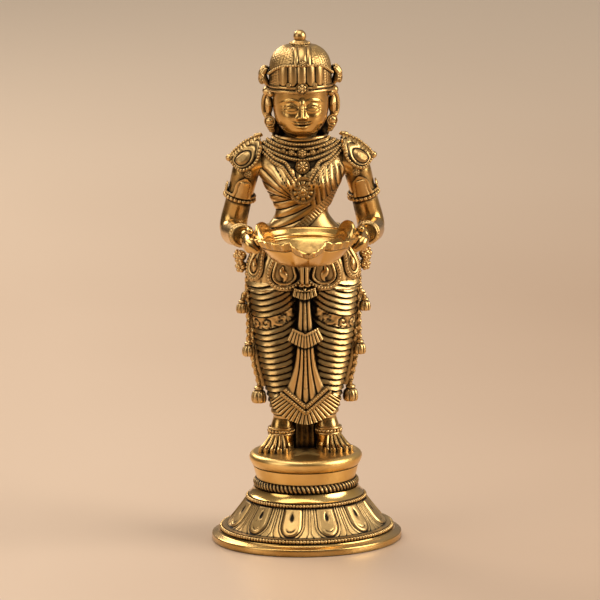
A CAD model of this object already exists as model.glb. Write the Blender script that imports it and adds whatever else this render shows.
from math import acos, atan2, cos, exp, hypot, pi, radians, sin, sqrt, tau

import bmesh
import bpy
from mathutils import Matrix, Vector


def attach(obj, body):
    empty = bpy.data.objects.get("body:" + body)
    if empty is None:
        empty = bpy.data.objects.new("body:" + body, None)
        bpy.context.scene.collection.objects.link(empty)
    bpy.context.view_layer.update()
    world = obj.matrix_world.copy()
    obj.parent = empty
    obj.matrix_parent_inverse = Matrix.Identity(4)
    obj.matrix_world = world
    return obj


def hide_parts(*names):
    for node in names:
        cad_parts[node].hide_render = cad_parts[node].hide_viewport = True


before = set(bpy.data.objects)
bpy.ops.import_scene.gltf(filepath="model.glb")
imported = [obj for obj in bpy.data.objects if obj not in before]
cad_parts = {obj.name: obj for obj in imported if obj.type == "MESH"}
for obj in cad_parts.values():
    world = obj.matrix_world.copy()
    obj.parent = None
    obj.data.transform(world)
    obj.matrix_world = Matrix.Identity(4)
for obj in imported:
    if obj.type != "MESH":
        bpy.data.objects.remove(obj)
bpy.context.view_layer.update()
scene = bpy.context.scene
scene.view_settings.view_transform = "Standard"
mm = 0.001  # shapes are worked in millimetres and scaled once, when a piece is finished
weld = 1e-4  # points nearer than this become one


# curves

def mix(a, b, u):
    return a + (b - a) * u


def clamp(u):
    return min(max(u, 0.0), 1.0)


def ease(u):
    u = clamp(u)
    return u * u * (3 - 2 * u)


def bell(d, w):
    return exp(-d * d / (w * w))


def bent(v, power):  # a rounded square's share of a sine or cosine
    return (1 if v >= 0 else -1) * abs(v) ** (2 / power)


def ridge(t, sharp=0.6):  # a row of round ridges with narrow valleys, one for each whole number
    return abs(sin(pi * t)) ** sharp


def valley(wave, start):  # how far down a ridge's foot is, from the height where the valley starts
    return ease((start - wave) / 0.5)


def slope(rows, i, c):
    a, b = rows[max(i - 1, 0)], rows[min(i + 1, len(rows) - 1)]
    return (b[c] - a[c]) / (b[0] - a[0])


def at(rows, z, c=1):  # smooth curve through rows of level and values
    i = 0
    while i < len(rows) - 2 and z >= rows[i + 1][0]:
        i += 1
    h = rows[i + 1][0] - rows[i][0]
    u = clamp((z - rows[i][0]) / h)
    v = 1 - u
    return (rows[i][c] * v * v * (1 + 2 * u) + rows[i + 1][c] * u * u * (1 + 2 * v)
            + slope(rows, i, c) * h * u * v * v - slope(rows, i + 1, c) * h * u * u * v)


# places

def vec(x, y, z):
    return Vector((x, y, z))


def polar(r, a, z, y=0):  # a place by radius and turn about an upright axis
    return vec(r * cos(a), y + r * sin(a), z)


def onSide(side, p):
    return vec(side * p.x, p.y, p.z)


def spread(path, step):  # places at equal steps along a line of points
    out, left = [path[0].copy()], step
    for a, b in zip(path, path[1:]):
        length, gone = (b - a).length, 0
        while length - gone >= left:
            gone += left
            out.append(a.lerp(b, gone / length))
            left = step
        left -= length - gone
    return out


def curve(points, count=12):  # a smooth line through points
    out = []
    last = len(points) - 1
    for i in range(last):
        a, b, c, d = points[max(i - 1, 0)], points[i], points[i + 1], points[min(i + 2, last)]
        for u in (k / count for k in range(count)):
            bend = (2 * a - 5 * b + 4 * c - d) * u * u + (3 * b - a - 3 * c + d) * u ** 3
            out.append(0.5 * (2 * b + (c - a) * u + bend))
    return out + [points[-1]]


def facing(p, normal):  # carries the origin to a place and turns +Z to a direction
    return Matrix.Translation(p) @ normal.to_track_quat("Z", "Y").to_matrix().to_4x4()


# shapes

def startMesh():
    bm = bmesh.new()
    bm.verts.layers.float.new("soot")  # how dark the metal is in its carved lines
    return bm


def mould(bm, cols, rows, place, caps=False):  # a grid laid over a form, closed where its edges meet
    soot = bm.verts.layers.float["soot"]
    made = bmesh.ops.create_grid(bm, x_segments=cols, y_segments=rows, size=1)["verts"]
    for v in made:
        spot = place((v.co.x + 1) / 2, (v.co.y + 1) / 2)
        if isinstance(spot, tuple):
            v.co, v[soot] = spot
        else:
            v.co = spot
    bmesh.ops.remove_doubles(bm, verts=made, dist=weld)
    made = [v for v in made if v.is_valid]
    if caps:
        rim = {e for v in made for e in v.link_edges if e.is_boundary}
        bmesh.ops.holes_fill(bm, edges=list(rim), sides=0)
    return made


def panel(bm, cols, rows, place, thick):  # an open sheet given a thickness
    made = set(mould(bm, cols, rows, place))
    faces = [f for f in bm.faces if f.verts[0] in made]
    bmesh.ops.recalc_face_normals(bm, faces=faces)
    bmesh.ops.solidify(bm, geom=faces, thickness=thick)


def lathe(bm, profile, steps=160):  # a closed profile of radius and level turned round the axis
    ring = [bm.verts.new((max(r, 0), 0, z)) for r, z in profile]
    edges = [bm.edges.new((ring[i], ring[(i + 1) % len(ring)])) for i in range(len(ring))]
    bmesh.ops.spin(bm, geom=ring + edges, axis=(0, 0, 1), cent=(0, 0, 0), steps=steps, angle=tau, use_merge=True)
    bmesh.ops.remove_doubles(bm, verts=bm.verts, dist=weld)


def stain(bm, dark):  # darkens what is already shaped, by a rule of place
    soot = bm.verts.layers.float["soot"]
    for v in bm.verts:
        v[soot] = dark(v.co)


def bead(bm, p, r, size=(1, 1, 1)):
    place = Matrix.Translation(p) @ Matrix.Diagonal((*size, 1))
    bmesh.ops.create_uvsphere(bm, u_segments=8, v_segments=6, radius=r, matrix=place)


def beadRow(bm, path, r, gap=2.0):
    for p in spread(path, r * gap):
        bead(bm, p, r)


def beadRing(bm, count, ringR, z, r):
    for k in range(count):
        bead(bm, polar(ringR, tau * k / count, z), r)


def sweep(bm, path, ups, section, cols=10, closed=False, dark=0.0):  # a section carried along a line
    last = len(path) - 1
    frames = []
    for i, p in enumerate(path):
        if closed:
            t = path[(i + 1) % last if i == last else i + 1] - path[i - 1 if i else last - 1]
        else:
            t = path[min(i + 1, last)] - path[max(i - 1, 0)]
        t.normalize()
        up = (ups[i] - t * ups[i].dot(t)).normalized()
        frames.append((p, up, t.cross(up)))

    def place(u, v):
        i = round(v * last)
        p, up, side = frames[i]
        s, o = section(tau * u, i)
        return p + side * s + up * o, dark
    mould(bm, cols, last, place, caps=not closed)


def cordSection(r, strands=0, twist=0.0, deep=0.18):
    def section(a, i):
        w = r * (1 + deep * cos(strands * a + twist * i)) if strands else r
        return w * cos(a), w * sin(a)
    return section


def bandSection(half, high, power=3.2):
    return lambda a, i: (half * bent(cos(a), power), high * bent(sin(a), power))


def beadedBand(bm, path, ups, section, r, out, closed=False, dark=0.7, gap=2.0, cols=10):
    sweep(bm, path, ups, section, cols, closed, dark)
    beadRow(bm, [p + n * out for p, n in zip(path[:-1] if closed else path, ups)], r, gap)


def rosette(bm, p, normal, r, petals, high):  # a flower stud: rim, petals and a middle ball
    turn = facing(p, normal)
    rimR, wire = r * 0.9, r * 0.13

    def rim(u, v):
        return turn @ polar(rimR + wire * cos(tau * v), tau * u, high * 0.4 + wire * sin(tau * v))
    mould(bm, 32, 6, rim)

    def disc(u, v):
        lobes = ridge(petals * u, 0.5) * ease(4 * v * (1 - v)) * high * 0.55
        return turn @ polar(rimR * (1 - v), tau * u, high * (0.1 + 0.25 * v) + lobes)
    mould(bm, 8 * petals, 8, disc)
    bead(bm, turn @ vec(0, 0, high * 0.55), r * 0.24)


def piece(name, bm, finish, nodes, body="figure", sharp=40):
    bmesh.ops.scale(bm, vec=(mm, mm, mm), verts=bm.verts)
    bmesh.ops.recalc_face_normals(bm, faces=bm.faces)
    mesh = bpy.data.meshes.new(name)
    bm.to_mesh(mesh)
    bm.free()
    mesh.polygons.foreach_set("use_smooth", [True] * len(mesh.polygons))
    mesh.set_sharp_from_angle(angle=radians(sharp))
    mesh.materials.append(finish)
    obj = bpy.data.objects.new(name, mesh)
    scene.collection.objects.link(obj)
    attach(obj, body)
    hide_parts(*nodes)


# finishes

class Flow:  # a node's output that can be written in sums
    def __init__(self, tree, out=None):
        self.tree, self.out = tree, out

    def node(self, kind, settings, values, out=0):
        made = self.tree.nodes.new(kind)
        for key, value in settings.items():
            if key == "stops":
                ramp = made.color_ramp.elements
                while len(ramp) < len(value):
                    ramp.new(0.5)
                for stop, (place, colour) in zip(ramp, value):
                    stop.position, stop.color = place, (*colour, 1)
            else:
                setattr(made, key, value)
        for key, value in values.items():
            if isinstance(value, Flow):
                self.tree.links.new(value.out, made.inputs[key])
            else:
                made.inputs[key].default_value = value
        return Flow(self.tree, made.outputs[out])

    def sum(self, operation, a, b, clamped=False):
        return self.node("ShaderNodeMath", {"operation": operation, "use_clamp": clamped}, {0: a, 1: b})

    def __add__(self, other):
        return self.sum("ADD", self, other)

    def __sub__(self, other):
        return self.sum("SUBTRACT", self, other)

    def __rsub__(self, other):
        return self.sum("SUBTRACT", other, self)

    def __mul__(self, other):
        return self.sum("MULTIPLY", self, other)

    def __truediv__(self, other):
        return self.sum("DIVIDE", self, other)

    __radd__, __rmul__ = __add__, __mul__

    def held(self):  # kept between 0 and 1
        return self.sum("ADD", self, 0.0, True)

    def colours(self, a, b):  # from colour a to colour b
        return self.node("ShaderNodeMix", {"data_type": "RGBA"}, {0: self, 6: a, 7: b}, 2)

    def noise(self, scale, detail, rough=0.5):
        values = {"Vector": self, "Scale": scale, "Detail": detail, "Roughness": rough}
        return self.node("ShaderNodeTexNoise", {}, values)

    def spot(self, kind):  # a place on the surface, or a way out from it
        return self.node("ShaderNodeTexCoord", {}, {}, kind)

    def axis(self, name):
        return self.node("ShaderNodeSeparateXYZ", {}, {0: self}, name)

    def into(self, shader, key):
        self.tree.links.new(self.out, shader.inputs[key])


antiqueLook = {"bright": (0.74, 0.50, 0.21, 1), "warm": (0.56, 0.34, 0.12, 1), "dark": (0.014, 0.009, 0.005, 1),
               "rough": 0.31, "reach": 0.0045, "start": 0.84, "gain": 2.4, "line": 16, "grain": 0.10}
smoothLook = {"bright": (0.74, 0.48, 0.18, 1), "warm": (0.58, 0.34, 0.10, 1), "dark": (0.022, 0.013, 0.006, 1),
              "rough": 0.22, "reach": 0.0060, "start": 0.74, "gain": 2.5, "line": 10, "grain": 0.06}
polishedLook = {"bright": (0.88, 0.60, 0.23, 1), "warm": (0.76, 0.46, 0.13, 1), "dark": (0.08, 0.045, 0.015, 1),
                "rough": 0.17, "reach": 0.0025, "start": 0.50, "gain": 1.8, "line": 4, "grain": 0.05}
bowlLook = {**polishedLook, "bright": (0.78, 0.50, 0.18, 1), "warm": (0.66, 0.38, 0.10, 1), "rough": 0.20}
satinLook = {**polishedLook, "rough": 0.33, "start": 0.62, "grain": 0.09}
hardwareLook = {"bright": (0.62, 0.45, 0.20, 1), "warm": (0.50, 0.34, 0.13, 1), "dark": (0.08, 0.05, 0.02, 1),
                "rough": 0.42, "reach": 0.0030, "start": 0.60, "gain": 2.0, "line": 4, "grain": 0.08}
castLook = {"cloud": 38, "speck": 520, "grain": 1900, "edge": 0.505, "groove": 0.488, "bump": 0.0005, "shine": 0.12}


def newFinish(name):
    finish = bpy.data.materials.new(name)
    finish.use_nodes = True
    return finish, finish.node_tree.nodes["Principled BSDF"], Flow(finish.node_tree)


def brassFinish(name, look):
    finish, shader, flow = newFinish(name)
    spot = flow.spot("Object")
    cloud = spot.noise(castLook["cloud"], 3)
    speck = spot.noise(castLook["speck"], 5, 0.65)
    grain = spot.noise(castLook["grain"], 2)
    closed = flow.node("ShaderNodeAmbientOcclusion", {"samples": 8}, {"Distance": look["reach"]}, "AO")
    edge = flow.node("ShaderNodeNewGeometry", {}, {}, "Pointiness")
    worn = ((edge - castLook["edge"]) * 9).held()
    hollow = ((castLook["groove"] - edge) * look["line"]).held()
    carved = flow.node("ShaderNodeAttribute", {"attribute_name": "soot"}, {}, "Fac")
    sunk = (look["start"] - closed + (speck - 0.5) * 0.42) * look["gain"]
    recess = (sunk + hollow + carved - worn * 0.5).held()
    metal = ((cloud - 0.36) * 2.6).held().colours(look["warm"], look["bright"])
    recess.colours(metal, look["dark"]).into(shader, "Base Color")
    (1 - recess * 0.7).into(shader, "Metallic")
    shader.inputs["Specular IOR Level"].default_value = castLook["shine"]
    (look["rough"] + recess * 0.30 + (speck - 0.5) * 0.16 - worn * 0.06).into(shader, "Roughness")
    relief = {"Strength": look["grain"], "Distance": castLook["bump"], "Height": grain + speck * 0.8}
    flow.node("ShaderNodeBump", {}, relief, "Normal").into(shader, "Normal")
    return finish


antique = brassFinish("antiqueBrass", antiqueLook)
smooth = brassFinish("rubbedBrass", smoothLook)
polished = brassFinish("polishedBrass", polishedLook)
bowlMetal = brassFinish("bowlBrass", bowlLook)
satin = brassFinish("satinBrass", satinLook)
hardware = brassFinish("tieBrass", hardwareLook)
print("finishes ready")


# stage: camera, floor, room and lamps

camera = {"distance": 5.0, "height": 1.1024, "pitch": 10.853, "heading": -2.5, "roll": -0.8, "lens": 515.56,
          "shift": -3.5 / 600}
floor = {"half": 7, "left": (0.70, 0.52, 0.38, 1), "right": (0.53, 0.37, 0.255, 1), "far": (0.95, 0.76, 0.58, 1),
         "rough": 0.32, "shine": 0.35}
room = {"stops": [(0.0, (0.30, 0.23, 0.17)), (0.48, (0.10, 0.075, 0.055)), (0.62, (0.30, 0.25, 0.20)),
                  (1.0, (0.80, 0.74, 0.66))], "lean": 0.14, "power": 0.55}
lamps = {"key": ((1.8, -0.6, 1.0), 1.7, 41, (1, 0.95, 0.88)),
         "fill": ((-1.6, -0.8, 0.8), 1.3, 8, (1, 0.93, 0.84)),
         "top": ((-0.3, -0.2, 2.0), 1.9, 21, (1, 0.97, 0.92)),
         "back": ((-0.9, 1.4, 1.2), 0.9, 14, (1, 0.92, 0.80))}
lampAim = vec(0, 0, 0.16)


def setCamera():
    data = bpy.data.cameras.new("photoCamera")
    data.lens, data.sensor_width, data.shift_x = camera["lens"], 36, camera["shift"]
    made = bpy.data.objects.new("photoCamera", data)
    scene.collection.objects.link(made)
    stand = Matrix.Translation((0, -camera["distance"], camera["height"]))
    place = Matrix.Rotation(radians(camera["heading"]), 4, "Z") @ stand
    made.matrix_world = (place @ Matrix.Rotation(radians(90 - camera["pitch"]), 4, "X")
                         @ Matrix.Rotation(radians(camera["roll"]), 4, "Z"))
    scene.camera = made


def setFloor():
    bm = bmesh.new()
    bmesh.ops.create_grid(bm, x_segments=8, y_segments=8, size=floor["half"])
    mesh = bpy.data.meshes.new("studioFloor")
    bm.to_mesh(mesh)
    bm.free()
    made = bpy.data.objects.new("studioFloor", mesh)
    scene.collection.objects.link(made)
    finish, shader, flow = newFinish("paleFloor")
    spot = flow.spot("Object")
    right = ((spot.axis("X") + 0.16) / 0.42 + (spot.noise(1.6, 2) - 0.5) * 0.8).held()
    far = ((spot.axis("Y") - 0.75) / 1.6).held()
    near = right.colours(floor["left"], floor["right"])
    far.colours(near, floor["far"]).into(shader, "Base Color")
    shader.inputs["Roughness"].default_value = floor["rough"]
    shader.inputs["Specular IOR Level"].default_value = floor["shine"]
    mesh.materials.append(finish)


def setRoom():
    world = bpy.data.worlds.new("softRoom")
    scene.world = world
    world.use_nodes = True
    flow = Flow(world.node_tree)
    way = flow.spot("Generated")
    high = way.axis("Z") * 0.5 + 0.5 + way.axis("Y") * room["lean"] + way.axis("X") * room["lean"]
    back = world.node_tree.nodes["Background"]
    flow.node("ShaderNodeValToRGB", {"stops": room["stops"]}, {0: high}).into(back, "Color")
    back.inputs["Strength"].default_value = room["power"]


def setLamps():
    for name, (place, size, power, colour) in lamps.items():
        data = bpy.data.lights.new(name + "Lamp", "AREA")
        data.shape, data.size, data.energy, data.color = "DISK", size, power, colour
        lamp = bpy.data.objects.new(name + "Lamp", data)
        lamp.location = place
        lamp.rotation_euler = (lampAim - Vector(place)).to_track_quat("-Z", "Y").to_euler()
        scene.collection.objects.link(lamp)


setCamera()
setFloor()
setRoom()
setLamps()
print("stage ready")


# base

base = {"footH": 6.5, "lowR": 50, "topR": 35.4, "collarZ": 24.6, "ropeZ": 32.2, "drumZ": 37.4, "plinthZ": 53.0,
        "petals": 12, "bore": 46, "thick": 4, "boreTop": 27, "ropeR": 31.2, "strands": 72,
        "beads": (("lowerBeads", 50.7, 7.9, 1.15, "lower_bead_ring"),
                  ("upperBeads", 34.9, 26.1, 1.1, "upper_bead_ring"))}


def skirtR(z):
    v = (z - base["footH"]) / (base["collarZ"] - base["footH"])
    return mix(base["lowR"], base["topR"], v) - 0.5 * sin(pi * clamp(v))


def lotusRelief(turn, z):  # double-lined petals with a drop, and plain leaves between them
    pitch = tau / base["petals"]
    wide = pitch * skirtR(z)
    x = abs((turn / pitch) % 1 - 0.5) * wide
    y = z - base["footH"]
    half = 0.56 * wide * 0.5
    knee = 3.4 + half
    d = x - half if y > knee else hypot(x, y - knee) - half
    edge = wide / 2 - x
    lines = bell(d - 0.2, 0.40) + 0.9 * bell(d - 1.8, 0.34)
    seam = 0.8 * bell(edge - 0.7 - 2.4 * ease((6 - y) / 5), 0.34)
    drop = 2.4 * bell(x, mix(1.15, 0.6, clamp((y - 12) / 4))) * bell(y - 13.6, 1.9)
    drop += 0.9 * bell(hypot(x, y - 9.0) - 3.0, 0.45) * ease((8.4 - y) / 2)
    deep = lines + seam + drop
    return 0.9 * ease(-d / 1.6) - 0.42 * min(deep, 1.4), 1.3 * deep


def makeBase():
    b = base
    bm = startMesh()
    lathe(bm, [(b["bore"], 0), (55.6, 0), (56.2, 0.3), (56.4, 0.9), (56.4, 3.7), (56.25, 4.2), (55.8, 4.5),
               (52.8, 5.3), (52.3, 5.6), (52.0, 6.3), (b["bore"], b["footH"])])
    piece("footRing", bm, smooth, ["foot_ring"])

    bm = startMesh()
    top = b["collarZ"]

    def skin(u, v):
        a = tau * u
        z = mix(b["footH"], top, v)
        high, dark = lotusRelief(a + pi / 2, z) if 0 < v < 1 else (0, 0.5)
        return polar(skirtR(z) + high, a, z), dark + bell(z - 9.5, 0.45) + bell(z - top, 0.8)
    mould(bm, 64 * b["petals"], 56, skin)

    def inside(u, v):
        return polar(mix(b["lowR"], b["topR"], v) - b["thick"], tau * u, mix(b["footH"], top, v))
    mould(bm, 96, 1, inside)
    rims = {e for e in bm.edges if e.is_boundary}
    for z in (b["footH"], top):
        ring = [e for e in rims if abs(e.verts[0].co.z - z) < 0.01]
        bmesh.ops.bridge_loops(bm, edges=ring)
    piece("lotusSkirt", bm, antique, ["lotus_skirt", "lotus_petals"])

    for name, r, z, beadR, node in b["beads"]:
        bm = startMesh()
        rows = ((3.2, -1.4), (0.6, -1.4), (0.4, 0), (0.6, 1.4), (3.2, 1.4))
        lathe(bm, [(r - sunk, z + up) for sunk, up in rows])
        stain(bm, lambda p: 1.0)
        beadRing(bm, int(tau * r / (beadR * 1.8)), r, z, beadR)
        piece(name, bm, antique, [node])

    bm = startMesh()
    low, high = top + 3, b["ropeZ"]
    cove = [(mix(31.2, 34.4, (1 - u) ** 1.5), mix(low, high, u)) for u in (0.1, 0.25, 0.4, 0.55, 0.7, 0.85, 0.96)]
    lathe(bm, [(31, low), (34.0, low), (34.4, low + 0.2)] + cove + [(30.8, high), (b["boreTop"], high)])
    stain(bm, lambda p: bell(p.z - low, 0.5))
    piece("baseCollar", bm, polished, ["base_collar"])

    bm = startMesh()
    low, high = b["ropeZ"], b["drumZ"]
    middle, half = (low + high) / 2, (high - low) / 2

    def rope(u, v):
        a, c = tau * u, tau * v
        wave = cos(b["strands"] * a + 2 * c)
        r = half * (1 + 0.12 * wave)
        spot = polar(b["ropeR"] - half + r * cos(c), a, middle + r * sin(c) * 0.97)
        return spot, 0.6 + 1.3 * ease(0.2 - 1.2 * wave)
    mould(bm, b["strands"] * 8, 14, rope)
    lathe(bm, [(b["boreTop"], low), (28.6, low), (28.6, high), (b["boreTop"], high)], 96)
    piece("ropeRing", bm, antique, ["rope_ring"])

    bm = startMesh()
    low, high = b["drumZ"], b["plinthZ"]
    rows = ((29.0, 0), (29.4, 0.2), (30.4, 4), (31.2, 7.2), (30.7, 7.6), (31.6, 8.0), (32.3, 9.2), (33.0, 10.6),
            (33.5, 12.2))
    side = [(r, low + up) for r, up in rows]
    brow = [(33.5 - 3.2 * (1 - cos(a)), high - 3.2 * (1 - sin(a))) for a in (0.1, 0.3, 0.5, 0.75, 1.0, 1.25, 1.45)]
    deck = [(r, high - 0.25) for r in (29.3, 26, 23, 20, 16, 0)]
    under = [(0, low + 6.6), (b["boreTop"], low + 6.6)]
    lathe(bm, [(b["boreTop"], low)] + side + brow + [(29.8, high)] + deck + under)

    def shade(p):  # a line under the brow, and the deck behind the feet
        behind = ease((11 - abs(p.x)) / 5) * ease((p.y + 18) / 6)
        return 1.9 * bell(p.z - low - 7.6, 0.25) + 1.8 * behind * ease(p.z - high + 1.2)
    stain(bm, shade)
    piece("plinthDrum", bm, satin, ["plinth_drum"])
    for name in ("tie_stud", "clamp_plate", "tie_nut"):
        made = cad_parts[name]
        made.data.materials.clear()
        made.data.materials.append(hardware)
    print("base done")


makeBase()


# forms of the figure that several pieces follow

bodyY = 3
bodySquare = 2.3
legForm = [(73.4, 18.5, 9.5), (90.4, 22.1, 11.5), (107.4, 26, 13.5), (129.9, 29.5, 15.4), (152.4, 31.8, 15.8)]
hipForm = [(152.4, 33, 17), (166.8, 33, 17), (184.4, 24, 14.5)]
torsoForm = [(184.4, 24, 14.5), (196.4, 15.5, 11.5), (206.4, 18.7, 12.3), (216.4, 23.5, 13.5), (229.4, 28.5, 11.5),
             (236.7, 25.5, 9.6), (240.0, 20.5, 9.0), (242.4, 9.5, 9.4)]
level = {"plinth": 53.0, "hem": 73.4, "hip": 152.4, "belt": 184.4, "bust": 216.4, "neck": 242.4, "crown": 296.9}
sides = ((1, "left"), (-1, "right"))
front = vec(0, -1, 0)


def legSpot(side, f, z, lift=0.0):
    half = at(legForm, z) / 2
    x = half + (half + lift) * bent(cos(f), bodySquare)
    return vec(side * max(x, 0.15), bodyY + (at(legForm, z, 2) + lift) * bent(sin(f), bodySquare), z)


def hipSpot(f, z, lift=0.0):
    return vec((at(hipForm, z) + lift) * bent(cos(f), bodySquare),
               bodyY + (at(hipForm, z, 2) + lift) * bent(sin(f), bodySquare), z)


def torsoSpot(f, z, lift=0.0):
    x = min(max(at(torsoForm, z) * bent(cos(f), bodySquare), -24), 24)
    swell = 6.5 * bell(abs(x) - 11.3, 8) * bell(z - level["bust"], 8) * ease(-2 * sin(f)) if sin(f) < 0 else 0
    p = vec(x, bodyY + at(torsoForm, z, 2) * bent(sin(f), bodySquare) - swell, z)
    return p + lift * outward(torsoSpot, f, z) if lift else p


def outward(spot, f, z):
    around = spot(f + 0.03, z) - spot(f - 0.03, z)
    n = around.cross(spot(f, z + 0.4) - spot(f, z - 0.4)).normalized()
    p = spot(f, z)
    return n if n.dot(vec(p.x * 0.4, p.y - bodyY, 0)) > 0 else -n


def lineOn(spot, turns, levels, lift):  # a line on a form, with the way out at each point
    ups = [outward(spot, f, z) for f, z in zip(turns, levels)]
    return [spot(f, z) + n * lift for f, z, n in zip(turns, levels, ups)], ups


def hoopOn(spot, levelAt, lift, count=96):
    turns = [tau * k / count for k in range(count + 1)]
    return lineOn(spot, turns, [levelAt(f) for f in turns], lift)


# feet and anklets

foot = {"x": 14.1, "y": 6.0, "turn": 23, "long": 16.4, "toes": 5, "fan": 40, "heel": 7.4, "instep": 11.2, "toeH": 3.4,
        "shin": (57, 80), "rings": ((66.0, 0.8), (62.6, 0.9)), "ringR": 7.2}


def makeFeet():
    turn, fan = radians(foot["turn"]), radians(foot["fan"])
    for side, word in sides:
        bm = startMesh()

        def skin(u, v):
            a = tau * u - pi
            toe = (a + fan) / (2 * fan) * foot["toes"]
            inFan = ease((fan - abs(a)) / 0.1)
            gap = inFan * (1 - ridge(toe, 0.45)) if inFan else 0
            reach = foot["long"] * mix(0.90, 1.04, clamp(toe / foot["toes"]))
            reach = mix(foot["heel"], reach, ease((fan * 1.4 - abs(a)) / 0.4)) - 1.4 * gap
            r = reach * min(v * 1.12, 1)
            high = mix(foot["instep"], foot["toeH"], ease((r - 5.5) / (reach - 5.5)))
            high *= sqrt(max(1 - clamp((v - 0.80) / 0.2) ** 2.6, 0))
            deep = gap * ease((r - 6.5) / 4)
            z = level["plinth"] - 0.25 + max(high - 2.2 * deep, 0)
            return vec(side * (foot["x"] + r * sin(a + turn)), foot["y"] - r * cos(a + turn), z), 1.8 * deep
        mould(bm, 140, 36, skin, caps=True)

        def shin(u, v):
            z = mix(*foot["shin"], v)
            p = polar(mix(6.9, 5.2, ease((z - 65) / 9)), tau * u, z)
            return vec(side * (foot["x"] - v + p.x), foot["y"] - 1.5 * v + p.y, z), 0.8 * ease((z - 70) / 4)
        mould(bm, 40, 16, shin, caps=True)
        piece(word + "Foot", bm, smooth, [word + "_foot"])

        bm = startMesh()
        for z, r in foot["rings"]:
            ring = [polar(foot["ringR"], tau * k / 48, z) for k in range(49)]
            ring = [vec(side * (foot["x"] + p.x), foot["y"] + p.y, z) for p in ring]
            sweep(bm, ring, [vec(0, 0, 1)] * 49, cordSection(r), closed=True)
        beadRow(bm, [p + vec(0, 0, 1.7) for p in ring[:-1]], 1.15, 1.9)
        piece(word + "Anklet", bm, antique, [word + "_anklet"])

    bm = startMesh()

    def tail(u, v):
        return vec(mix(-8.6, 8.6, u), 9.2 + 0.6 * ridge(5 * u), mix(level["plinth"], 76, v)), 1.0
    panel(bm, 30, 4, tail, 1.8)
    piece("hemTail", bm, antique, ["hem_tail"])
    print("feet done")


makeFeet()


# legs under hanging folds, with a scroll band across the thighs

drape = {"pitch": 3.8, "high": 1.9, "sag": 9.0, "bandLow": 16, "bandHigh": 18, "cols": 84, "rows": 210,
         "scroll": 8.2, "bandHalf": 3.4, "coil": 2.9}


def foldSag(inner, v):  # folds hang from the outside of the leg, more so higher up
    return drape["sag"] * mix(0.5, 2.1, v) * ((inner - 0.15) ** 2 * 1.38 - 0.4)


def foldOf(t):  # height and darkness of the fold at a count of folds
    skew = t % 1
    wave = ease(skew / 0.22) * (1 - skew) ** 0.7 * 1.15
    return drape["high"] * (wave - 0.25), 1.3 * bell(min(skew, (1 - skew) * 1.6), 0.13)


def foldRelief(f, z):
    low, top = level["hem"], level["hip"]
    v = (z - low) / (top - low)
    t = (z - foldSag((1 - cos(f)) / 2, v) - low) / drape["pitch"]
    ends = ease(v / 0.05) * ease((1 - v) / 0.015)
    if not drape["bandLow"] < t < drape["bandHigh"]:
        high, dark = foldOf(t)
        return high * ends, dark
    across = (t - drape["bandLow"]) / (drape["bandHigh"] - drape["bandLow"]) * 2 - 1
    along = f * 15 % drape["scroll"] - drape["scroll"] / 2
    rho, turn = hypot(along, across * drape["bandHalf"]), atan2(across, along / drape["bandHalf"])
    curl = cos(tau * rho / drape["coil"] - turn) * ease((4.4 - rho) / 0.8)
    edge = ease((abs(across) - 0.80) / 0.12)
    high = 0.75 + 0.45 * curl * (1 - edge) + 0.4 * edge
    return high * ends, 1.2 * ease(-curl * 1.6) * (1 - edge) + bell(abs(across) - 1, 0.07)


def makeLegs():
    for side, word in sides:
        bm = startMesh()

        def skin(u, v):
            f = tau * u
            z = mix(level["hem"], level["hip"], v)
            lift, dark = foldRelief(f, z)
            p = legSpot(side, f, z, lift)
            return p, dark + 1.3 * ease((8.6 - abs(p.x)) / 1.8)
        mould(bm, drape["cols"], drape["rows"], skin, caps=True)
        piece(word + "LegDrape", bm, antique, [word + "_leg_drape"])
    print("legs done")


makeLegs()


# front pleat: strips and fans down the middle, and the wide hem fan

pleat = {"stand": 3.1, "thick": 1.5, "square": 2.4,
         "strips": (((178, 156.4), [(0, 3.2), (0.5, 2.7), (1, 2.5)], 2, 0, 0),
                    ((150, 126.4), [(0, 2.9), (0.5, 3.6), (1, 4.6)], 3, 2, 147.5),
                    ((121, 83.6), [(0, 4.4), (0.45, 6.0), (0.75, 8.4), (1, 11.2)], 5, 9, 118.4)),
         "fans": ((6.2, 7.4, 152.6, 147.5, 2.1, 2.6, 7), (7.4, 10.8, 126.6, 118.2, 3.6, 5.3, 11)),
         "borders": ((14.6, 77.7, 12.6, 1.15), (12.6, 81.4, 11.4, 1.3))}


def frontY(x, z):  # the face that the pleat's pieces lie on
    deep = at(legForm, z, 2) if z < level["hip"] else at(hipForm, z, 2)
    share = (1 - (min(abs(x), 23) / 26) ** pleat["square"]) ** (1 / pleat["square"])
    return bodyY - deep * share - pleat["stand"]


def pleatSheet(bm, cols, rows, edge, relief):
    def place(u, v):
        w = 2 * u - 1
        x, z = edge(w, v)
        lift, dark = relief(w, v)
        return vec(x, frontY(x, z) - lift, z), dark
    panel(bm, cols, rows, place, pleat["thick"])


def chevron(bm, halfTop, halfLow, top, low, rise, drop, count):  # a short fan with its ends lifted
    def edge(w, v):
        return mix(halfTop, halfLow, v) * w, mix(top + rise * abs(w), low + drop * abs(w) ** 1.4, v)

    def relief(w, v):
        wave = ridge(count * (w + 1) / 2, 0.55)
        lip = bell(v - 0.10, 0.07)
        high = 2.2 + (1.1 * wave - 0.2) * (1 - lip) + 0.7 * lip + 0.5 * v
        return high, 1.4 * valley(wave, 0.68) * (1 - lip) + bell(v - 0.24, 0.05)
    pleatSheet(bm, 8 * count, 14, edge, relief)


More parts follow.
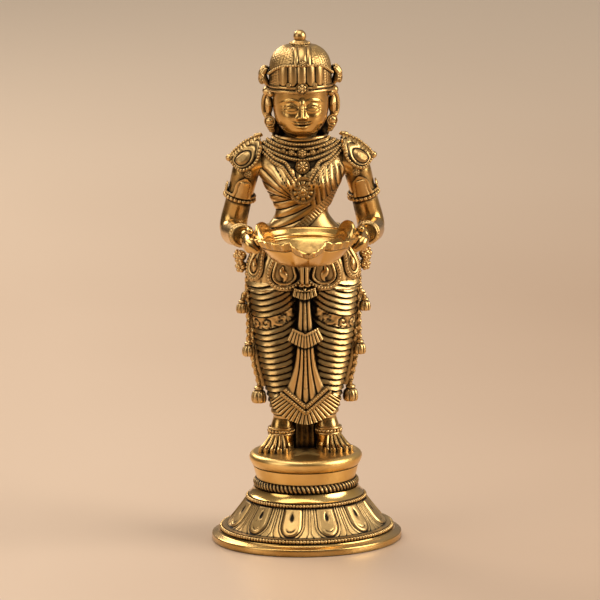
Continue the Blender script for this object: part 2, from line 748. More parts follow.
def strip(bm, rows, halves, ribs, lean, under):  # a hanging strip with upright ribs, dark under a fan
    top, low = rows

    def edge(w, v):
        return at(halves, v) * w, mix(top, low + lean * abs(w), v)

    def relief(w, v):
        wave = ridge(ribs * (w + 1) / 2, 0.7)
        notch = (1 - ridge(v * (top - low) / 2.2)) * bell(w, 0.16)
        shade = 1.3 * bell(mix(top, low, v) - under + 1.0, 1.1)
        return 1.7 * wave * (1 - 0.35 * abs(w)) - 0.5 * notch, 1.2 * valley(wave, 0.62) + 0.9 * notch + shade
    pleatSheet(bm, 9 * ribs, 30, edge, relief)


def makePleat():
    bm = startMesh()
    for row in pleat["strips"]:
        strip(bm, *row)
    for row in pleat["fans"]:
        chevron(bm, *row)
    for k in (-1, 1):
        bead(bm, (k * 1.7, frontY(2, 156) - 1.2, 156.0), 1.7, (1.2, 0.8, 0.7))

    def edge(w, v):  # hem fan: pleats spread from the V down to a pointed hem
        a = w * pi / 2
        z = mix(76.4 + 12.8 * abs(w), 70.7 + 15.2 * (1 - cos(a)) ** 0.8, v)
        return mix(14.8 * w, 20.6 * sin(a), v), z

    def relief(w, v):
        wave = ridge(10.5 * (w + 0.05 * v * w) + 0.5, 0.55)
        return 0.4 + (1.5 * wave - 0.4) * (0.6 + 0.4 * v) + 0.5 * v, 1.5 * valley(wave, 0.72)
    pleatSheet(bm, 21 * 9, 18, edge, relief)
    for half, tip, high, wide in pleat["borders"]:
        for side in (-1, 1):
            line = []
            for u in (k / 24 for k in range(25)):
                z = tip + high * u
                line.append(vec(side * half * u, frontY(half * u, z) - 1.9, z))
            sweep(bm, line, [vec(side * 0.2, -1, 0)] * 25, bandSection(wide, 0.8), dark=0.6)
            beadRow(bm, [p - vec(0, 0.5, 0) for p in line], 0.8)
    piece("frontPleat", bm, antique, ["front_pleat"])
    print("pleat done")


makePleat()


# hips: soft folds, looped scarves with hatched borders, a girdle, knots and tasselled cords

hips = {"loops": ((-72, 7.2, 153.6, 11.5, 24.0), (-31, 6.6, 158.8, 11.0, 27.0)),  # last: what turns a width to an angle
        "folds": 157.5, "cols": 150, "rows": 90, "gathers": 26, "beltBeads": 184.2}


def makeHips():
    bm = startMesh()

    def skin(u, v):
        f = tau * u
        z = mix(level["hip"] - 0.5, level["belt"], v)
        wave = ridge(hips["gathers"] * u + 1.2 * v * cos(f), 0.55)
        lift = (0.9 * wave - 0.3) * ease(v / 0.1) * ease((1 - v) / 0.15)
        inner = 1 - abs(hipSpot(f, z).x) / 33
        high, line = foldOf((z - foldSag(inner, 1) - level["hem"]) / drape["pitch"])
        under = ease((hips["folds"] - z) / 1.5)
        lift = mix(lift, high * ease(v / 0.015), under)
        p = hipSpot(f, max(z, level["hip"]), lift) - vec(0, 0, max(level["hip"] - z, 0))
        dark = 1.1 * valley(wave, 0.6) + ease((7 - abs(p.x)) / 3) * ease(-sin(f) * 3)
        for middle, half, low, _, _ in hips["loops"]:
            turn = radians(middle) if cos(f) > 0 else pi - radians(middle)
            off = abs((f - turn + pi) % tau - pi) * 25 / half
            dark += 0.55 * ease((1.1 - off) / 0.3) * ease((z - low) / 2)
        return p, mix(dark, line, under)
    mould(bm, hips["cols"], hips["rows"], skin, caps=True)
    piece("hipWrap", bm, antique, ["hip_wrap"])

    for side, word in sides:
        bm = startMesh()
        for middle, half, low, tall, reach in hips["loops"]:
            tallHalf = half * 1.08

            def around(turns, levels, lift):
                turns = [radians(middle) + x / reach for x in turns]
                return lineOn(hipSpot, turns if side > 0 else [pi - f for f in turns], levels, lift)

            def loop(share, lift):
                turns, levels = [], []
                for t in (k / 40 * 2 - 1 for k in range(41)):
                    a = radians(-90 + 120 * t)
                    stem = max(abs(t) - 0.8, 0) * 5
                    turns.append(half * share * cos(a) * (1 - 0.25 * stem))
                    levels.append(low + tallHalf + tallHalf * share * sin(a) + stem * tall * 0.6)
                return around(turns, levels, lift)
            beadedBand(bm, *loop(1.0, 0.9), bandSection(1.5, 0.9), 0.95, 0.6, cols=12)
            sweep(bm, *loop(0.66, 0.8), cordSection(0.75), 8)

            def leaf(a, i):
                full = sin(pi * i / 16)
                return (0.3 + 1.9 * full) * cos(a), (0.3 + 1.0 * full) * sin(a)
            steps = [k / 16 * 2 - 1 for k in range(17)]
            turns = [half * 0.10 * sin(pi * t) for t in steps]
            sweep(bm, *around(turns, [low + half * (1.2 + 0.62 * t) for t in steps], 0.6), leaf)
        piece(word + "HipLoops", bm, antique, [word + "_hip_loops"])
    print("hips done")


makeHips()


def makeGirdle():
    bm = startMesh()
    for spot, z in ((hipSpot, 181.6), (torsoSpot, 187.0)):
        sweep(bm, *hoopOn(spot, lambda f: z, 0.9), cordSection(0.9, 3, 1.3), 9, True)
    sweep(bm, *hoopOn(hipSpot, lambda f: level["belt"], 0.9), bandSection(2.2, 1.0), closed=True)
    z = hips["beltBeads"]
    for p in hoopOn(hipSpot, lambda f: z, 1.9, 36)[0][:-1]:
        bead(bm, p, 1.3)
    rosette(bm, hipSpot(pi / 2, z, 1.6), -front, 4.2, 8, 1.6)
    piece("girdle", bm, antique, ["girdle"])


makeGirdle()

cords = {"x": (36.4, 32.9, 27.2), "top": (161, 158, 128), "low": (144.6, 119.4, 92.2), "tall": (7.8, 8.6, 10.0),
         "y": 0.0, "r": 1.35, "knots": ((171.2, 4.2, 37.6), (165.0, 3.7, 37.0)),
         "tassel": [(0, 0.35), (0.12, 0.66), (0.24, 0.56), (0.36, 0.84), (0.6, 1.0), (0.85, 1.0), (1, 0.84)]}


def tassel(bm, p, tall, r):
    def skin(u, v):
        wave = ridge(7 * u) if v > 0.28 else 1
        w = r * at(cords["tassel"], v) * (0.84 + 0.16 * wave)
        return p + polar(w, tau * u, -tall * v), valley(wave, 0.5) + bell(v - 0.26, 0.05)
    mould(bm, 63, 20, skin, caps=True)


def legSide(z):  # how far out the leg's side is
    return at(legForm, min(z, 152))


def makeKnots():
    for side, word in sides:
        bm = startMesh()
        for z, r, x in cords["knots"]:
            turn = facing(vec(side * x, cords["y"] - 0.6, z), vec(side * 0.75, -0.66, 0).normalized())
            for k in range(6):
                bead(bm, turn @ polar(r * 0.66, tau * k / 6, 0.4), r * 0.40)
            bead(bm, turn @ vec(0, 0, 1.0), r * 0.42)
            bead(bm, turn @ vec(0, 0, -1.2), r * 0.85)
        piece(word + "HipKnot", bm, antique, [word + "_hip_knot"])

        bm = startMesh()
        for x, top, low, tall in zip(cords["x"], cords["top"], cords["low"], cords["tall"]):
            start = at(legForm, min(top, 150)) + 1.2
            path = []
            for k in range(25):
                z = mix(top, low, k / 24)
                out = max(legSide(z) + 1.3, mix(start, x, ease(k / 12 - 1)))
                path.append(vec(side * out, cords["y"], z))
            fine = spread(path, 0.55)
            sweep(bm, fine, [front] * len(fine), cordSection(cords["r"], 2, 0.75, 0.24))
            tassel(bm, fine[-1], tall, 0.46 * tall)
            ribbon = [vec(side * mix(legSide(p.z) - 0.4, abs(p.x), 0.5), cords["y"] + 0.3, p.z) for p in path]
            sweep(bm, ribbon, [front] * len(ribbon), lambda a, i: (mix(1.2, 2.7, i / 24) * cos(a), 0.9 * sin(a)))
        piece(word + "TasselCord", bm, antique, [word + "_tassel_cord"])
    print("knots and cords done")


makeKnots()


# torso in a pleated sari with one border drawn up across it

sari = {"from": (-1.0, 190.3), "to": (14.7, 204.8), "half": 2.8, "gather": (-4.0, 206.0), "hatch": 1.8}


def faceTurn(x, z):  # the turn at which the chest's front has this x
    c = min(abs(x) / at(torsoForm, z), 0.999) ** 1.15
    return -acos(c if x > 0 else -c)


def chestLine(points, lift, step=0.8):
    path, ups = [], []
    for q in spread(curve([vec(x, z, 0) for x, z in points]), step):
        f = faceTurn(q.x, q.y)
        ups.append(outward(torsoSpot, f, q.y))
        path.append(torsoSpot(f, q.y) + ups[-1] * lift)
    return path, ups


def sariRelief(x, z):
    (x0, z0), (x1, z1), half = sari["from"], sari["to"], sari["half"]
    run, rise = x1 - x0, z1 - z0
    along = ((x - x0) * run + (z - z0) * rise) / hypot(run, rise)
    off = ((z - z0) * run - (x - x0) * rise) / hypot(run, rise)
    fade = ease((229 - z) / 5)
    if z > 218 and z > 227.6 + 0.72 * (abs(x) - 9.6) and z > 217.6 + 2.0 * (abs(x) - 4.6):
        return 0.0, 0.75  # bare skin above the neckline
    if off < -half:
        return 0.0, 0.8 * bell(off + half, 0.5)
    if off < half:
        edge = ease((abs(off) - 1.7) / 0.5)
        hatch = ridge(along / sari["hatch"], 0.7)
        dark = 1.5 * valley(hatch, 0.62) * (1 - edge) + 1.4 * bell(abs(off) - half, 0.4)
        return 1.2 + 0.6 * edge + 0.6 * hatch * (1 - edge), dark
    gx, gz = sari["gather"]
    if x > 4 and z > 203:
        wave = ridge((x + 0.16 * (z - 216)) / 3.4 + 0.3, 0.55)
    elif z > gz - 0.25 * (x - gx):
        wave = ridge(atan2(z - gz, gx - x) / 0.26, 0.55)
        fade *= ease(hypot(x - gx, z - gz) / 5)
    else:
        wave = ridge((z - 0.55 * x - 0.010 * x * x) / 5.0, 0.55)
    return 0.6 + 1.3 * wave * fade, 1.5 * valley(wave, 0.66) * fade


def makeTorso():
    bm = startMesh()

    def skin(u, v):
        f = tau * u
        z = mix(level["belt"], level["neck"], v)
        p = torsoSpot(f, z)
        lift, dark = sariRelief(p.x, z)
        if sin(f) > 0:  # the cloth lies in slanted folds across the back
            wave = ridge((z + 0.7 * p.x) / 4.2, 0.55)
            lift, dark = 0.6 * wave, valley(wave, 0.5)
        share = ease(abs(sin(f)) * 2.4) * ease(v / 0.04) * ease((1 - v) / 0.1)
        return p + vec(0.5 * cos(f), sin(f), 0).normalized() * lift * share, dark * share
    mould(bm, 200, 140, skin, caps=True)
    piece("torso", bm, antique, ["torso"])
    print("torso done")


makeTorso()


# necklaces, studs and the medallion

jewels = {"bands": ((16.8, 241.0, 238.2, 0.9), (19.6, 240.0, 235.3, 1.0), (21.8, 238.7, 232.3, 1.0),
                    (23.4, 237.2, 229.4, 0.9)), "hoop": 241.4,
          "studs": ((0, 233.7, 2.9), (-6.4, 234.0, 1.9), (6.4, 234.0, 1.9), (-11, 235.2, 1.4), (11, 235.2, 1.4)),
          "strand": ((22.6, 236.6), (16, 230.6), (9.8, 227.4), (7.0, 221.5), (4.8, 217.6)),
          "medalZ": 212, "medalR": 8.0}


def makeNecklaces():
    bm = startMesh()
    for side, high, low, r in jewels["bands"]:
        rows = [(side * t, low + (high - low) * abs(t) ** 1.8) for t in (k / 8 - 1 for k in range(17))]
        beadedBand(bm, *chestLine(rows, 0.8), bandSection(1.2, 0.9, 2.4), r * 0.85, 0.7)
    sweep(bm, *hoopOn(torsoSpot, lambda f: jewels["hoop"], 0.6), cordSection(1.1), closed=True)
    for x, z, r in jewels["studs"]:
        rosette(bm, torsoSpot(faceTurn(x, z), z) + 1.8 * front, vec(x * 0.02, -1, 0.15), r, 6, 1.4)
    piece("neckCollar", bm, antique, ["neck_collar"])

    bm = startMesh()
    for side in (1, -1):
        for shift in (0, 2.6):
            rows = [(side * (x + shift * (0.2 if x > 12 else 0.8)), z - shift * (0.9 if x > 8 else 0.25))
                    for x, z in jewels["strand"]]
            beadedBand(bm, *chestLine(rows, 1.1), bandSection(1.2, 1.0, 2.4), 0.85, 0.7)
    rosette(bm, torsoSpot(-pi / 2, 226) + 2.0 * front, vec(0, -1, 0.1), 4.2, 8, 1.6)
    piece("longNecklace", bm, antique, ["long_necklace"])

    bm = startMesh()
    z, r, way = jewels["medalZ"], jewels["medalR"], vec(0, -1, 0.05)
    p = vec(0, torsoSpot(faceTurn(6, z), z).y - 0.6, z)
    rosette(bm, p, way, r, 10, 2.2)
    rosette(bm, p + 1.1 * front, way, r * 0.5, 6, 1.2)
    bmesh.ops.create_cone(bm, cap_ends=True, segments=32, radius1=r * 0.9, radius2=r * 0.9, depth=3.0,
                          matrix=facing(p, way) @ Matrix.Translation((0, 0, -1.2)))
    piece("medallion", bm, antique, ["medallion"])
    print("necklaces done")


makeNecklaces()


# arms with armlets, shoulder plates and bangles

arm = {"shoulder": (24, 3, 227.4), "bend": 9.7, "elbow": (42, 9, 184.4), "wrist": (36.4, -29, 188.4), "step": 0.9,
       "thick": [(0, 8.6), (0.30, 7.6), (0.44, 7.8), (0.56, 8.1), (0.72, 7.2), (1, 4.9)],
       "parts": (("UpperArm", "_upper_arm", 0, 0.36, 30), ("Forearm", "_forearm", 0.34, 1, 60))}


def armLine():
    top, elbow, wrist = Vector(arm["shoulder"]), Vector(arm["elbow"]), Vector(arm["wrist"])
    bend = arm["bend"]
    lean = atan2(elbow.x - top.x - bend, top.z - bend - elbow.z)
    turns = [k / 12 * (pi / 2 - lean) for k in range(13)]
    arc = [top + vec(bend * sin(q), 0, bend * (cos(q) - 1)) for q in turns]
    low, fore = arc[-1].lerp(elbow, 0.66), elbow.lerp(wrist, 0.34)
    joint = [low.lerp(elbow, t).lerp(elbow.lerp(fore, t), t) for t in (k / 14 for k in range(15))]
    return spread(arc + joint + [wrist], arm["step"])


def carried(path, normal):  # a side direction carried along a line without twist
    out = []
    for i in range(len(path)):
        t = (path[min(i + 1, len(path) - 1)] - path[max(i - 1, 0)]).normalized()
        normal = (normal - t * normal.dot(t)).normalized()
        out.append((normal.copy(), t.cross(normal)))
    return out


armPath = armLine()
armFrames = carried(armPath, front)


def armSpot(side, v, a, lift=0.0):  # v runs from the shoulder to the wrist, a round the arm from its front
    t = clamp(v) * (len(armPath) - 1)
    i = min(int(t), len(armPath) - 2)
    n, b = (armFrames[i][k].lerp(armFrames[i + 1][k], t - i) for k in (0, 1))
    p = armPath[i].lerp(armPath[i + 1], t - i) + (n * cos(a) + b * sin(a)) * (at(arm["thick"], v) + lift)
    return onSide(side, p)


def armHoop(side, v, lift, count=48):
    ring = [armSpot(side, v, tau * k / count, lift) for k in range(count + 1)]
    middle = sum(ring[1:], Vector()) / count
    return ring, [(p - middle).normalized() for p in ring]


cuffs = {"armletV": 0.335, "bands": ((0, 1.3), (-0.028, 0.8)), "bangles": (0.90, 0.935, 0.97), "beadsV": 0.952,
         "bell": [(0, 1.3), (0.25, 1.05), (0.6, 1.0), (0.85, 0.72), (1, 0.15)],
         "studs": ((0.20, 0.1, 1.2, 2.2, 1.3), (0.06, -1.5, 0.6, 3.0, 1.8))}  # up, turn, lift, radius, height
plate = {"ridge": ((24.0, 3, 243.2), (33.0, 3, 239.0), (39.6, 3, 233.6), (42.6, 3, 229.8)), "bulge": 2.2, "steps": 36,
         "low": ((24.4, -7, 237.0), (28.0, -8.0, 227.6), (36.0, -6.0, 223.4), (42.0, 2.6, 228.0))}


def makeArms():
    for side, word in sides:
        for part, node, v0, v1, rows in arm["parts"]:
            bm = startMesh()

            def skin(u, v):
                a, w = tau * u, mix(v0, v1, v)
                crease = bell(w - 0.60, 0.012) * ease(cos(a + 2.2))
                dark = 0.7 * crease + 1.1 * bell(w - cuffs["armletV"] - 0.025, 0.016)
                dark += 0.8 * bell(w - cuffs["bangles"][0] + 0.02, 0.02)
                dark += 1.5 * ease((sin(a) - 0.1) / 0.6) * bell(w - 0.42, 0.07)
                dark += 0.9 * ease((1.05 - abs((a + pi) % tau - pi)) / 0.3) * bell(w - 0.22, 0.09)
                return armSpot(side, w, a, -0.5 * crease), dark
            mould(bm, 48, rows, skin, caps=True)
            piece(word + part, bm, smooth, [word + node])

        bm = startMesh()
        v = cuffs["armletV"]
        for shift, r in cuffs["bands"]:
            beadedBand(bm, *armHoop(side, v + shift, 0.7), bandSection(r, 1.0, 2.4), r * 0.95, 0.6, True, 0.9, 2.05)

        def plaque(u, w):  # a bell-shaped plate above the band, on the arm's outer front
            a = 0.05 + (u - 0.5) * at(cuffs["bell"], w)
            inward = min(min(u, 1 - u) / 0.17, (1 - w) / 0.15)
            lift = 1.0 + 0.9 * ease((inward - 1.3) / 0.4) + 0.4 * ease((0.7 - inward) / 0.3)
            return armSpot(side, v - 0.03 - 0.145 * w, a, lift), 1.9 * bell(inward - 1.05, 0.34)
        panel(bm, 48, 32, plaque, 1.4)
        for up, a, lift, r, high in cuffs["studs"]:
            p = armSpot(side, v - up, a, lift)
            rosette(bm, p, (p - armSpot(side, v - up, a, -3)).normalized(), r, 6, high)
        piece(word + "Armlet", bm, antique, [word + "_armlet"])

        bm = startMesh()
        ridgeLine, lowLine = (curve([Vector(p) for p in plate[key]]) for key in ("ridge", "low"))
        steps = plate["steps"]

        def shell(u, w):  # from the front edge over the ridge to the back edge
            k = min(int(u * steps), steps - 1)
            t, part = abs(2 * w - 1), u * steps - k
            p = ridgeLine[k].lerp(ridgeLine[k + 1], part).lerp(lowLine[k].lerp(lowLine[k + 1], part), t)
            bulge = plate["bulge"] * sin(pi * min(t, 0.98)) ** 0.8 * sin(pi * mix(0.06, 0.97, u)) ** 0.6
            oval = hypot((u - 0.52) / 0.19, (t - 0.55) / 0.22)
            line = bell(oval - 1.15, 0.16) + 0.9 * bell(oval - 1.9, 0.16) + 0.8 * bell(oval - 2.6, 0.14)
            line += 0.7 * bell(t - 0.90, 0.05)
            hatch, fringe = ridge(12 * u), ease((0.26 - t) / 0.04)
            lift = bulge + 0.8 * ease((1 - oval) / 0.4) - 0.6 * line * (1 - fringe) + 0.5 * hatch * fringe
            p = p + vec(0.45, -0.8, 0.35) * lift
            dark = mix(1.3 * line + 0.7 * ease((1 - oval) / 0.3), 1.6 * valley(hatch, 0.6), fringe)
            return vec(side * p.x, p.y if w < 0.5 else 2 * bodyY - p.y, p.z), dark
        panel(bm, 3 * steps, 56, shell, 1.1)
        for w in (0.5, 0, 1):
            rim = [shell(k / steps, w)[0] for k in range(steps + 1)]
            sweep(bm, rim, [vec(0, -0.5, 1)] * len(rim), cordSection(0.85), 8, dark=0.9)
            beadRow(bm, [p + vec(0, -0.3, 0.3) for p in rim], 1.0)
        bead(bm, shell(1, 0.5)[0], 2.2)
        bead(bm, shell(0.06, 0.5)[0], 1.8, (1.6, 1, 0.8))
        piece(word + "ShoulderPlate", bm, antique, [word + "_shoulder_plate"])

        bm = startMesh()
        for v in cuffs["bangles"]:
            sweep(bm, *armHoop(side, v, 0.5), cordSection(1.0), closed=True)
        beadRow(bm, armHoop(side, cuffs["beadsV"], 1.0)[0][:-1], 1.0, 1.9)
        piece(word + "Bangle", bm, antique, [word + "_bangle"])
    print("arms done")


makeArms()


# lamp bowl, with its spout and two lugs

bowl = {"y": -44, "low": 174.4, "rim": 189.9, "r": 30, "footR": 15, "wall": 1.6, "spout": 7, "dip": 4.2, "lug": 6,
        "facets": 30, "tarnish": 0.55, "curve": 0.62, "outside": 54, "inside": 58, "rows": 100}


def bowlRim(q):  # radius and level of the lip at a turn in degrees
    s = max(1 - abs(q + 90) / 22, 0)
    d = min(abs(q - 28), abs(q - 152))
    lug = sqrt(max(1 - (d / 17) ** 2, 0))
    horn = bell(abs(q + 90) - 21, 5)
    return bowl["r"] + bowl["spout"] * s, bowl["rim"] - bowl["dip"] * s + bowl["lug"] * lug + 1.5 * horn


def bowlR(r, h):  # radius at a share of the height
    return bowl["footR"] + (r - bowl["footR"]) * h ** bowl["curve"]


def makeBowl():
    bm = startMesh()

    def outer(r, h):
        return bowlR(r, h) - 0.4 + 0.5 * ease((h - 0.70) / 0.05) - 0.5 * bell(h - 0.69, 0.03)

    def inner(r, h):
        step = 0.5 * bell(h - 0.74, 0.04) - 0.5 * bell(h - 0.62, 0.04)
        return bowlR(r, mix(0.12, 1, h)) - bowl["wall"] - step

    def skin(u, v):  # up the outside, over the lip and down the inside
        q = -180 + 360 * u
        r, top = bowlRim(q)
        j = round(v * bowl["rows"])
        dark = 0
        if j <= bowl["outside"]:
            h = j / bowl["outside"]
            away = abs((q / 360 * bowl["facets"]) % 1 - 0.5) * 2  # 1 at the edge between two facets
            band = ease((h - 0.74) / 0.03)
            w = outer(r, h) + (0.9 - 0.6 * (1 - away * away) + 0.5 * bell(1 - away, 0.12)) * band
            z = mix(bowl["low"], top, h)
            dark = 0.9 * bell(h - 0.70, 0.03) + (0.6 - 0.5 * bell(1 - away, 0.25)) * band
            dark += 0.55 * ease((0.45 - h) / 0.5)
        elif j < bowl["inside"]:
            t = (j - bowl["outside"]) / (bowl["inside"] - bowl["outside"])
            w, z = mix(outer(r, 1) + 0.8, inner(r, 1), t), top + 0.9 * sin(pi * t)
        else:
            h = clamp(1 - (j - bowl["inside"]) / 34)
            w, z = inner(r, h) * clamp((bowl["rows"] - j) / 8), mix(bowl["low"] + 2.2, top, h)
            dark = 0.7 * ease((0.66 - h) / 0.35) + 0.6 * bell(q - 92, 8) * ease((h - 0.7) / 0.1)
            dark += 0.3 * bell(q - 38, 14)
        return polar(w, radians(q), z, bowl["y"]), bowl["tarnish"] + 1.15 * dark
    mould(bm, 240, bowl["rows"], skin, caps=True)
    piece("lampBowl", bm, bowlMetal, ["lamp_bowl"], "bowl", 50)
    print("bowl done")


makeBowl()


# hands round the bowl

hand = {"stand": 1.6, "palm": 3.8, "fingers": 4, "first": 18, "step": 7.2}


def beside(q, down, r, out=0.0):  # a place against the bowl, by turn in degrees and depth under the rim
    u = clamp(1 - down / (bowl["rim"] - bowl["low"]))
    p = polar(bowlR(bowl["r"], u) + hand["stand"] + r, radians(q), bowl["rim"] - down, bowl["y"])
    return p + vec(out, 0, 0)


def limb(bm, side, points, radii, flat=1.0):  # a rounded limb through points
    line = [onSide(side, p) for p in spread(curve(points), 0.5)]
    last = len(line) - 1
    rows = [(k / (len(radii) - 1), r) for k, r in enumerate(radii)]

    def section(a, i):
        r = at(rows, i / last) * sqrt(max(1 - max(abs(2 * i / last - 1) * 1.06 - 0.86, 0) ** 2 / 0.04, 0.02))
        return r * cos(a), r * flat * sin(a)
    sweep(bm, line, [vec(side, 0, 0.3)] * len(line), section, 14)


def makeHands():
    wrist = Vector(arm["wrist"])
    palm = hand["palm"]
    back = beside(20, 3, palm, 1.6)
    hold = [wrist + vec(0, 3, 0), wrist.lerp(back, 0.5), back, beside(8, 4, palm), beside(-6, 4.6, palm)]
    thumb = [beside(20, 1.5, palm), beside(15, -2.6, 2.4), beside(7, -4.0, 1.6), beside(0, -3.0, 1.2)]
    for side, word in sides:
        bm = startMesh()
        limb(bm, side, hold, [4.4, 4.8, 6.0, 5.6, 4.0], 0.78)
        for k in range(hand["fingers"]):
            q = hand["first"] - hand["step"] * k
            finger = [beside(q + 4, 1.6, 2.6, 1.6), beside(q, 4.2, 2.6, 1.0), beside(q - 2, 6.6, 2.4),
                      beside(q - 3, 8.2, 1.9)]
            limb(bm, side, finger, [2.6, 3.0, 2.7, 2.2])
        limb(bm, side, thumb, [2.6, 2.5, 2.1, 1.7])
        piece(word + "Hand", bm, smooth, [word + "_hand"])
    print("hands done")


makeHands()


# head with a calm, plain face of even proportions

headForm = [(240.4, 9.5, 9.5), (243.4, 9.0, 9.3), (247.0, 11.6, 14.5), (253.0, 15.2, 16.6), (261.4, 16.5, 17.5),
            (270.4, 16.5, 17.5), (275, 16.2, 17.2)]
headSquare = 2.2
face = {"eyeZ": 261.0, "eyeX": 6.5, "eyeHalf": 3.9, "noseZ": 255.4, "mouthZ": 251.3, "chinZ": 247.6, "browZ": 265.3,
        "browX": 6.8, "cheekX": 9.0, "cheekZ": 254.8}


def headSpot(f, z):
    y = mix(2, 0.8, ease((z - 240.4) / 6.6))
    return vec(at(headForm, z) * bent(cos(f), headSquare), y + at(headForm, z, 2) * bent(sin(f), headSquare), z)


def bumps(x, z, rows):  # soft mounds, each by amount, place and width across, and place and width up
    return sum(amount * bell(x - x0, w) * bell(z - z0, h) for amount, x0, w, z0, h in rows)


def faceRelief(x, z):
    x = abs(x)
    eyeX, eyeZ, browX, browZ, noseZ = (face[key] for key in ("eyeX", "eyeZ", "browX", "browZ", "noseZ"))
    arch = max(1 - ((x - eyeX) / face["eyeHalf"]) ** 2, 0)
    upper, lower = eyeZ + 0.2 + 1.9 * arch, eyeZ - 0.1 - 1.1 * arch
    lid, socket = 1.15 * face["eyeHalf"], 1.3 * face["eyeHalf"]
    brow = browZ + 1.0 - 0.05 * (x - 6.0) ** 2
    lip = face["mouthZ"] + 0.03 * x * x
    down = clamp((browZ - z) / (browZ - noseZ))
    ends = ease((z - noseZ + 1.5) / 2.6) * ease((browZ + 3 - z) / 4)
    high = mix(1.2, 3.6, down ** 1.2) * bell(x, mix(1.5, 2.0, down)) * ends  # the nose
    high += 1.2 * arch ** 0.7 * bell(z - (upper + lower) / 2, 2.1)
    high += bumps(x, z, (
        (-1.2, eyeX, socket, eyeZ + 0.6, 3.6), (0.5, eyeX, lid, upper + 0.6, 0.6), (0.3, eyeX, lid, lower - 0.5, 0.5),
        (0.8, browX, 4.6, brow, 0.7), (1.3, 2.4, 1.1, noseZ + 0.3, 1.1), (1.5, 0, 4.2, lip + 0.95, 0.75),
        (1.7, 0, 3.3, lip - 1.05, 0.9), (-0.7, 0, 4.6, lip, 0.3), (1.5, 0, 4.0, face["chinZ"], 1.9),
        (1.0, face["cheekX"], 5.0, face["cheekZ"], 5.0)))
    return high, bumps(x, z, (
        (1.7, eyeX, lid, upper, 0.55), (1.2, eyeX, lid, lower, 0.40), (0.6, eyeX, lid, upper + 1.7, 0.3),
        (0.5, 3.2, 1.2, eyeZ + 0.4, 1.6), (1.2, browX, 4.2, brow - 0.9, 0.55), (0.9, 1.5, 0.9, noseZ - 0.9, 0.4),
        (1.4, 0, 4.0, lip, 0.40)))


def makeHead():
    bm = startMesh()

    def skin(u, v):
        w = 2 * u - 1
        f = -pi / 2 + pi * (0.4 * w + 0.6 * w ** 3)
        z = mix(headForm[0][0], headForm[-1][0], v)
        p = headSpot(f, z)
        share = ease((-sin(f) - 0.15) / 0.4)
        high, dark = faceRelief(p.x, z)
        comb = ridge(atan2(p.x, z - 240) / 0.25 + 0.5)  # hair drawn down to the nape
        hair = ease((sin(f) - 0.25) / 0.3) * ease((z - 244) / 4)
        lift = high * share + 0.7 * comb * hair
        return p + vec(0.35 * cos(f), sin(f), 0) * lift, dark * share + 1.1 * valley(comb, 0.62) * hair
    mould(bm, 200, 140, skin, caps=True)
    piece("head", bm, smooth, ["head"])

    for side, word in sides:
        bm = startMesh()
        middle, way = vec(side * 18.9, 3.0, 261.0), vec(side * 0.4, -1, 0)
        bead(bm, middle, 4.4, (0.62, 0.85, 1.55))
        rim = []
        for a in (radians(-100 + 10 * k) for k in range(29)):
            rim.append(middle + vec(side * (1.2 + 2.0 * cos(a)), 1.6 * cos(a) - 1.2, 6.6 * sin(a)))
        sweep(bm, rim, [way] * 29, cordSection(1.25))
        lobe = [middle + vec(side * (0.9 - 0.3 * k), -0.4, -4 - 1.6 * k) for k in range(4)]
        sweep(bm, lobe, [front] * 4, bandSection(2.3, 1.8, 2.2), 12)
        p = vec(side * 18.2, 0.4, 251.6)
        rosette(bm, p, way, 3.4, 6, 2.0)
        bead(bm, p - front, 3.2)
        for k in range(3):
            bead(bm, p + vec(side * -0.5 * k, 0.6, -2.6 - 1.5 * k), 2.7 - 0.4 * k, (1, 0.9, 0.7))
        bead(bm, (side * 19.4, 1.4, 269.6), 3.3, (0.95, 1.2, 0.95))
        bead(bm, (side * 17.6, -3.4, 268.8), 2.2)
        piece(word + "EarDrop", bm, antique, [word + "_ear_drop"])
    print("head done")


makeHead()


# crown: a stippled cap, front bars under an arched band, a ribbed strip, side flowers and a finial

crown = {"y": 0.8, "r": 18.4, "low": 270.4, "tall": 27.6, "full": 4.8, "bars": 5.2, "barsLow": 274.2, "barsHalf": 13.0,
         "stripX": 0.6, "stripHalf": 4.9, "rings": ((271.0, 0.9), (273.4, 0.75)), "stipple": 26}


def crownSpot(f, z, lift=0.0):
    h = clamp((z - crown["low"]) / crown["tall"])
    return polar(crown["r"] * sqrt(max(1 - h ** crown["full"], 0)) + lift, f, z, crown["y"])


def archZ(f):  # level of the band that edges the cap, highest at the brow
    return 280.4 + 6.6 * ease((-sin(f) - 0.1) / 0.9)


def crownRelief(f, z):
    x = crownSpot(f, z).x
    d = abs(x - crown["stripX"])
    if sin(f) < 0 and z > archZ(f) and d < crown["stripHalf"]:
        wave = ridge(0.5 + d / 4.8, 0.5) if d < 2.4 else ridge((d - 2.4) / 2.5, 0.5)
        return 0.7 + 0.9 * wave, 1.4 * valley(wave, 0.7)
    if sin(f) < 0 and crown["barsLow"] < z < archZ(f) and abs(x) < crown["barsHalf"]:
        t = x / crown["bars"] + 0.5
        foot = 274.6 + 2.2 * (abs(t % 1 - 0.5) * 2) ** 2.2
        wave = ridge(t, 0.5) * ease((z - foot) / 0.7)
        return 1.4 * wave, 1.3 * valley(wave, 0.68)
    turn = f * crown["stipple"] / pi
    stipple = ridge(turn, 1) * ridge(z / 1.6 + round(turn) * 0.5, 1)
    return 0.3 * stipple, 0.4 * (1 - stipple) * ease((z - archZ(f)) / 2 + 0.5)


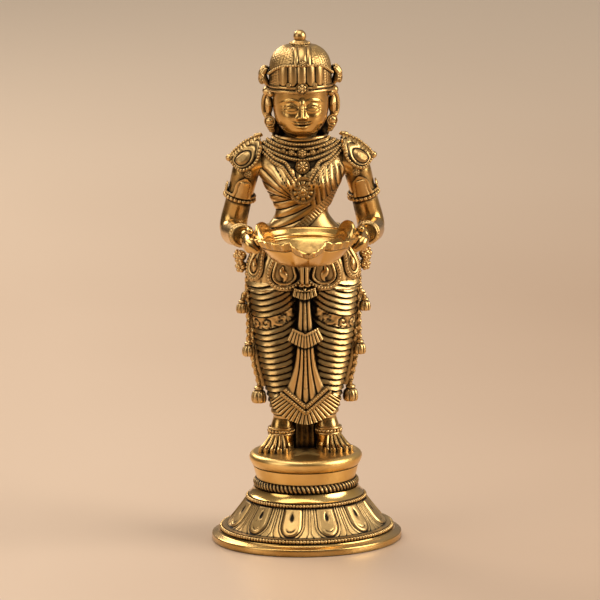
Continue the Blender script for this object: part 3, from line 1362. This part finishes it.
def makeCrown():
    bm = startMesh()

    def skin(u, v):
        f = tau * u
        z = mix(crown["low"], level["crown"], v ** 0.8)
        lift, dark = crownRelief(f, z)
        lift *= ease((1 - v) / 0.03)
        return crownSpot(f, z) + vec(cos(f), sin(f), 0.5 * v) * lift, dark
    mould(bm, 240, 100, skin, caps=True)
    beadedBand(bm, *hoopOn(crownSpot, archZ, 0.5, 120), bandSection(0.9, 0.7, 2.6), 0.85, 0.5, True)
    for z, r in crown["rings"]:
        sweep(bm, *hoopOn(crownSpot, lambda f: z + 0.6 * ease(-sin(f)), 0.6, 120), cordSection(r), 8, True)
    rosette(bm, crownSpot(-pi / 2, 273.6, 1.2), vec(0, -1, 0.1), 3.6, 6, 1.8)
    for x in (-7.2, 7.2):
        f = -acos(x / crown["r"])
        rosette(bm, crownSpot(f, 275.4, 1.3), vec(cos(f), sin(f), 0), 1.6, 6, 1.0)
    rosette(bm, crownSpot(-acos(0.03), 288.4, 1.6), vec(0, -0.9, 0.45), 2.2, 6, 1.2)
    piece("crown", bm, antique, ["crown"])

    for side, word in sides:
        bm = startMesh()
        low = vec(side * crown["r"], crown["y"], 272.6)
        for k in range(5):
            tip = vec(side * (19.4 + 1.2 * sin(k * 1.1)), crown["y"] - 3.2 + 1.6 * k, 285.4 - 0.7 * abs(k - 2))
            limb(bm, 1, [low, low.lerp(tip, 0.5) + vec(side * 3.4, 0, 1.0), tip], [1.3, 2.1, 1.0])
        rosette(bm, vec(side * 22.4, -1.4, 277.4), vec(side, -0.6, 0), 3.2, 6, 1.8)
        piece(word + "CrownFlower", bm, antique, [word + "_crown_flower"])

    bm = startMesh()
    z = level["crown"]
    ball = [(3.8 * cos(a), z + 5.1 + 3.8 * sin(a)) for a in (radians(-32 + 9.4 * k) for k in range(13))]
    rows = ((0, -0.8), (6.4, -0.8), (6.0, 0.2), (5.7, 0.5), (5.7, 1.2), (5.2, 1.6), (4.7, 1.7), (3.9, 2.6), (3.2, 3.0))
    lathe(bm, [(r, z + up) for r, up in rows] + ball + [(0, z + 8.9)], 48)
    beadRing(bm, 22, 5.5, z + 1.0, 0.8)
    bmesh.ops.translate(bm, vec=(0, crown["y"], 0), verts=bm.verts)
    piece("crownFinial", bm, antique, ["crown_finial"])
    print("crown done")


makeCrown()


# braid down the back, and combed hair gathered beside the neck

braid = {"top": 259.4, "low": 194.4, "thick": 4.0, "plaits": 12,
         "back": [(194.4, 15.1), (206, 16.0), (216.4, 17.0), (229, 15.6), (237, 14.4), (243, 14.6), (249, 16.2),
                  (254, 17.2), (260, 16.6)]}
locks = {"middle": (13.2, 8.0, 246.2), "size": (4.4, 4.6, 6.8), "strands": 7}


def makeHair():
    bm = startMesh()

    def skin(u, v):
        a = tau * u
        z = mix(braid["top"], braid["low"], v)
        full = braid["thick"] * mix(1.1, 0.6, v) * mix(0.5, 1, ease(v / 0.09))
        wave = ridge(v * braid["plaits"] - abs(cos(a)) * 0.55)
        r = full * (0.78 + 0.22 * wave)
        return polar(r, -a, z, at(braid["back"], z) + 0.8 * full), valley(wave, 0.6)
    mould(bm, 40, 160, skin, caps=True)
    piece("hairBraid", bm, antique, ["hair_braid"])

    (x, y, z), (wide, deep, tall) = locks["middle"], locks["size"]
    for side, word in sides:
        bm = startMesh()

        def lock(u, v):
            a, b = tau * u, pi * (v - 0.5)
            wave = ridge(locks["strands"] * u + 0.6 * v)
            r = (0.9 + 0.1 * wave) * cos(b)
            spot = vec(side * (x + wide * r * cos(a)), y + deep * r * sin(a), z + tall * sin(b))
            return spot, 0.5 + valley(wave, 0.6)
        mould(bm, 56, 20, lock)
        piece(word + "HairLock", bm, antique, [word + "_hair_lock"])
    print("hair done")


makeHair()
